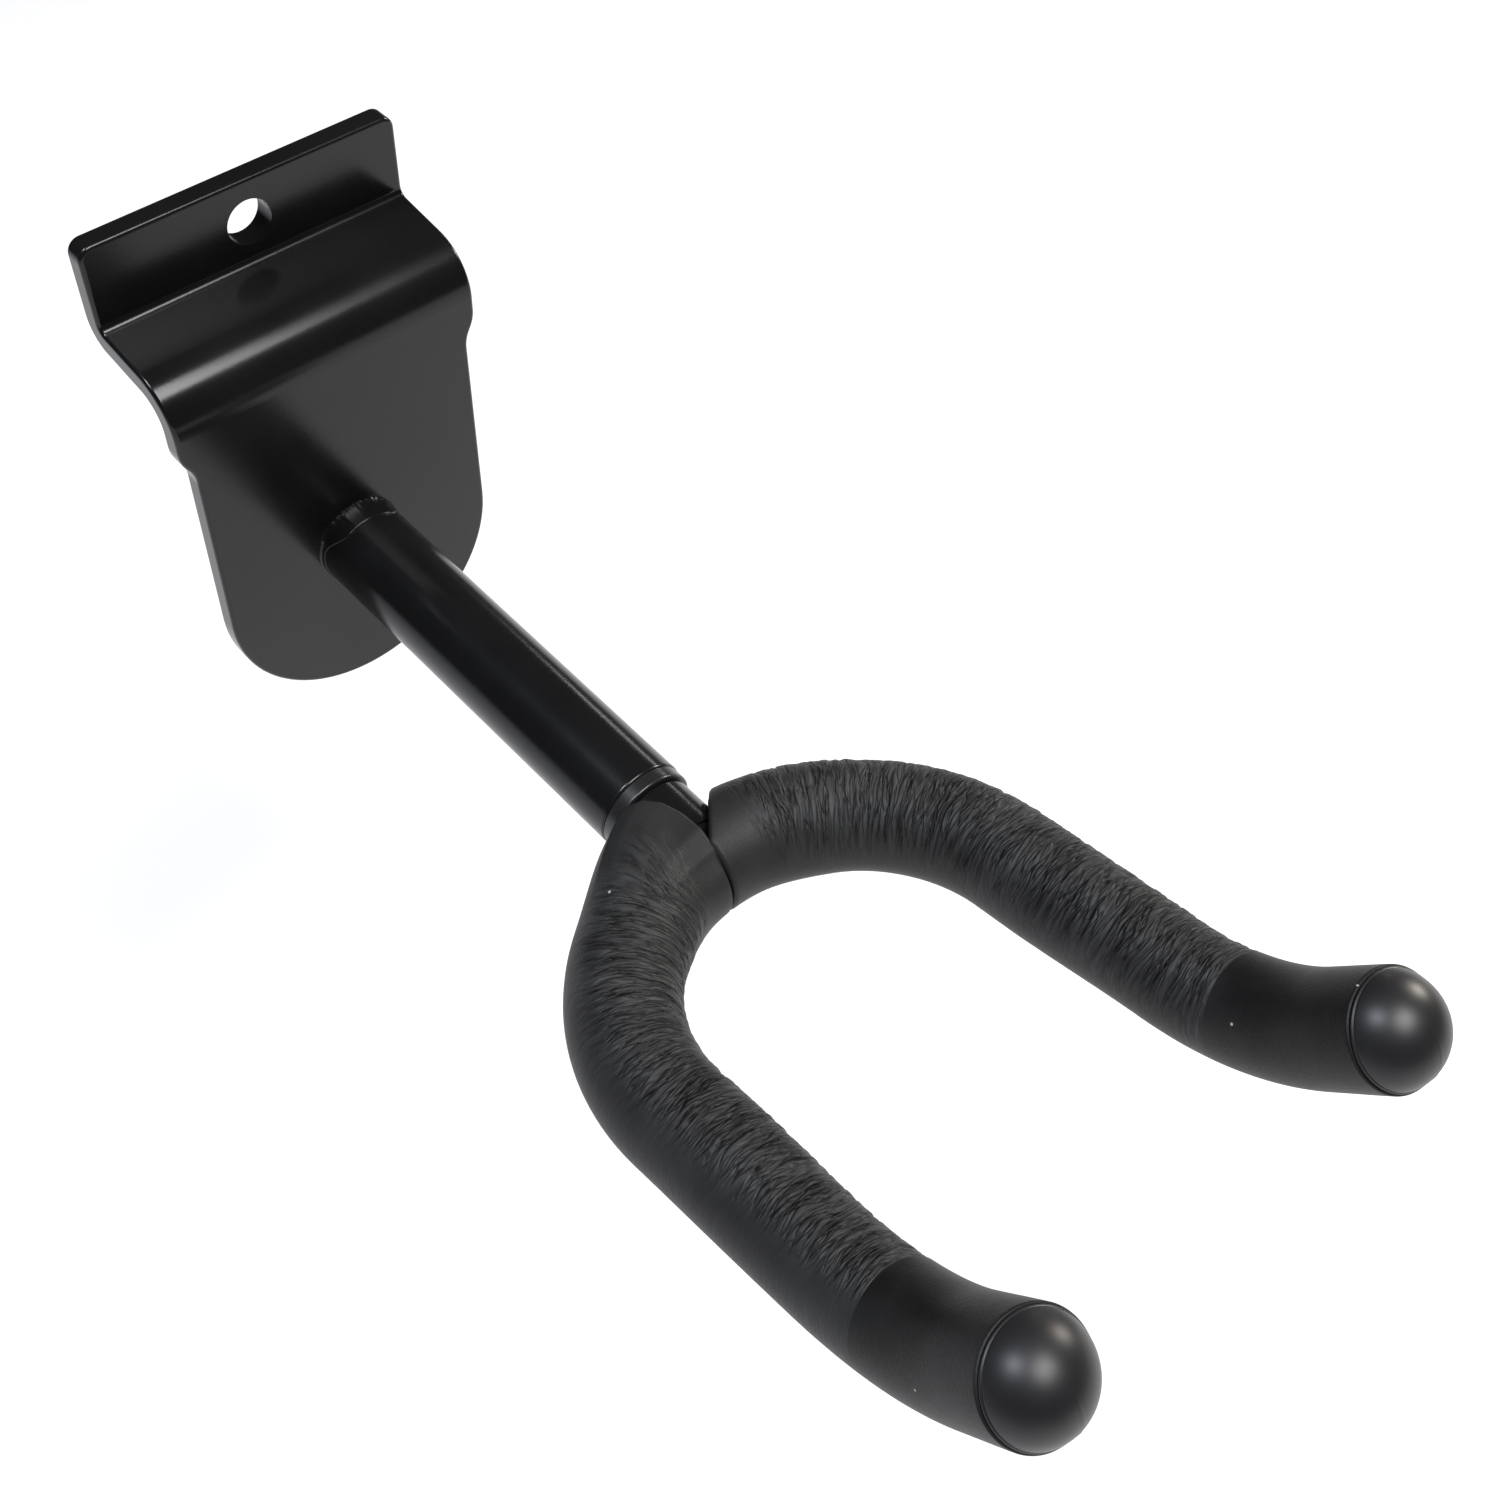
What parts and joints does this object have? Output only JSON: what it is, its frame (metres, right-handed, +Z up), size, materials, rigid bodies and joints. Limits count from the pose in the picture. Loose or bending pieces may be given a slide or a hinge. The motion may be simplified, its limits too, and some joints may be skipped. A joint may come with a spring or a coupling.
{
  "type": "wall guitar hanger",
  "caption": "Slat-wall guitar hanger: bent steel bracket with a lip, round arm tube, and a swivelling padded U-shaped yoke with upturned, capped tips.",
  "frame": {"origin": "on the arm tube's axis, in the back face of the bracket's face plate, which bears on the wall", "axes": "+Z up, -Y out of the wall along the arm, +X across the bracket to the right as seen from the front"},
  "size_m": [0.0846, 0.2147, 0.0961],
  "materials": {
    "black_powder_coat": "satin black powder coat",
    "black_nylon": "moulded black nylon",
    "bare_steel": "turned and drawn steel",
    "foam_rubber": "matt charcoal foam rubber with fine cross wrinkles",
    "cap_rubber": "smooth glossy black rubber"
  },
  "bodies": {
    "hanger_frame": {"wall_bracket": "black_powder_coat", "arm_tube": "black_powder_coat", "tube_weld": "black_powder_coat", "front_bush": "black_nylon", "rear_bush": "black_nylon", "retaining_ring": "bare_steel"},
    "yoke": {"swivel_stem": "black_powder_coat", "friction_ring": "cap_rubber", "yoke_rod": "black_powder_coat", "yoke_welds": "black_powder_coat", "foam_sleeve_left": "foam_rubber", "foam_sleeve_right": "foam_rubber", "end_cap_left": "cap_rubber", "end_cap_right": "cap_rubber"}
  },
  "joints": [
    {"name": "yoke_swivel", "type": "hinge", "parent": "hanger_frame", "child": "yoke", "pos_m": [0, -0.0834, 0], "axis": [0, -1, 0], "continuous": true}
  ]
}
